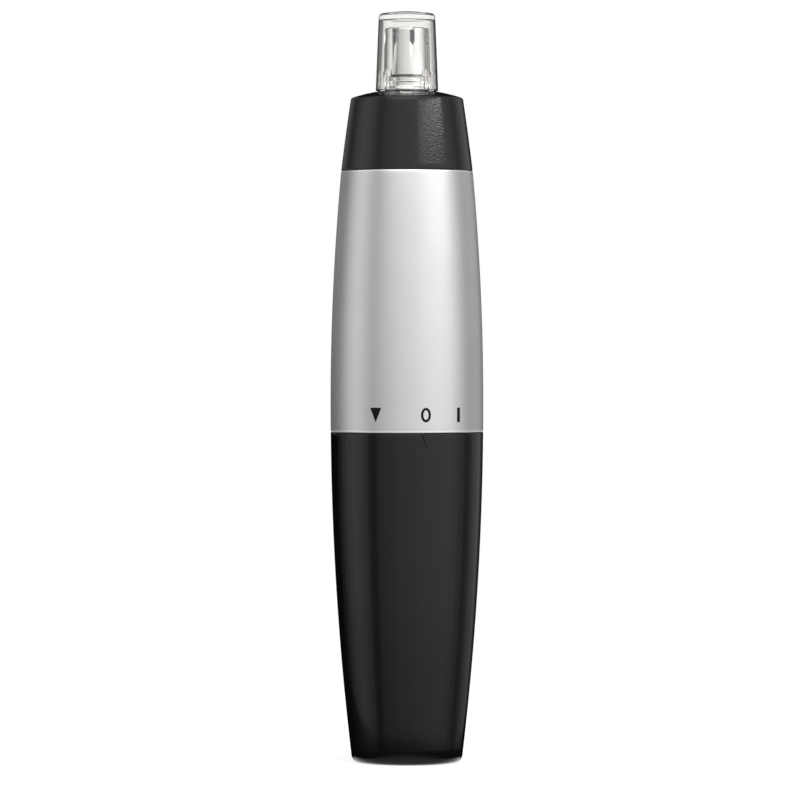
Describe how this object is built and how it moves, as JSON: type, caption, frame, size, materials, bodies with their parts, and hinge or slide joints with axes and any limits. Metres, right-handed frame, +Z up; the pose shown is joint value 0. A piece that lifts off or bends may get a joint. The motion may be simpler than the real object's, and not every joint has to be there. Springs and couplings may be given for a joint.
{
  "type": "nose hair trimmer",
  "caption": "Slim battery nose hair trimmer: twist-on battery cover that is also the switch, silver barrel, push-on head with slotted comb and spinning cutter, clear cap.",
  "frame": {"origin": "centre of the flat base of the battery cover", "axes": "+Z up the long axis towards the comb and the cap, -Y out through the switch symbols, +X to the right as the symbols are read"},
  "size_m": [0.0282, 0.0282, 0.138],
  "materials": {
    "black_plastic": "fine satin",
    "silver_paint": "satin, fine grain",
    "chrome": "polished",
    "clear_plastic": "clear, lightly smoked",
    "frame_plastic": "matte",
    "white_nylon": "natural nylon",
    "motor_steel": "zinc plated",
    "blade_steel": "ground",
    "contact_nickel": "nickel plated",
    "bearing_bronze": "sintered",
    "winding_copper": "enamelled copper",
    "magnet_ferrite": "ferrite",
    "seal_rubber": "matte",
    "wire_red": "insulated wire",
    "wire_black": "insulated wire",
    "cell_sleeve": "printed sleeve",
    "cell_body": "plated can and its filling",
    "cell_steel": "nickel plated"
  },
  "bodies": {
    "cover": {"battery_cover": "black_plastic", "negative_spring": "contact_nickel", "negative_strip": "contact_nickel"},
    "barrel": {"barrel_shell": "silver_paint", "battery_frame": "frame_plastic", "motor_frame": "frame_plastic", "frame_screw_front": "motor_steel", "frame_screw_back": "motor_steel", "head_seal": "seal_rubber", "shaft_seal": "seal_rubber", "positive_contact": "contact_nickel", "switch_contact": "contact_nickel", "lead_positive": "wire_red", "lead_negative": "wire_black", "motor_can": "motor_steel", "front_bush": "bearing_bronze", "motor_end_cap": "white_nylon", "rear_bush": "bearing_bronze", "magnet_right": "magnet_ferrite", "magnet_left": "magnet_ferrite", "terminal_positive": "bearing_bronze", "terminal_negative": "bearing_bronze", "brush_positive": "bearing_bronze", "brush_negative": "bearing_bronze"},
    "seal_ring": {"cover_seal": "seal_rubber"},
    "cell": {"cell_can": "cell_body", "cell_negative_plate": "cell_steel", "cell_sleeve": "cell_sleeve", "cell_button": "cell_steel", "cell_washer": "white_nylon"},
    "rotor": {"motor_shaft": "blade_steel", "armature_core": "motor_steel", "winding_1": "winding_copper", "winding_2": "winding_copper", "winding_3": "winding_copper", "commutator": "winding_copper", "drive_fork": "white_nylon", "cutter_spring": "contact_nickel"},
    "head": {"head_housing": "black_plastic", "neck_collar": "chrome", "collar_nut": "white_nylon", "cutter_bush": "bearing_bronze", "comb": "chrome"},
    "cutter": {"cutter_blade": "blade_steel", "cutter_shaft": "blade_steel", "cutter_driver": "white_nylon", "shaft_clip": "blade_steel"},
    "cap": {"protective_cap": "clear_plastic"}
  },
  "joints": [
    {"name": "cover_pull", "type": "slide", "parent": "cover", "child": "seal_ring", "axis": [0, 0, 1], "range_m": [0, 0.075]},
    {"name": "cover_twist", "type": "hinge", "parent": "seal_ring", "child": "barrel", "pos_m": [0, 0, 0.0596], "axis": [0, 0, 1], "range_deg": [-28, 38]},
    {"name": "cell_slide", "type": "slide", "parent": "barrel", "child": "cell", "axis": [0, 0, -1], "range_m": [0, 0.0241]},
    {"name": "rotor_spin", "type": "hinge", "parent": "barrel", "child": "rotor", "pos_m": [0, 0, 0.09], "axis": [0, 0, 1], "continuous": true},
    {"name": "head_pull", "type": "slide", "parent": "barrel", "child": "head", "axis": [0, 0, 1], "range_m": [0, 0.03]},
    {"name": "cutter_spin", "type": "hinge", "parent": "head", "child": "cutter", "pos_m": [0, 0, 0.12], "axis": [0, 0, 1], "continuous": true},
    {"name": "cap_lift", "type": "slide", "parent": "head", "child": "cap", "axis": [0, 0, 1], "range_m": [0, 0.03]}
  ],
  "couplings": [
    {"joint": "cell_slide", "follows": "cover_pull", "ratio": 0.32},
    {"joint": "cutter_spin", "follows": "rotor_spin", "ratio": 1}
  ]
}
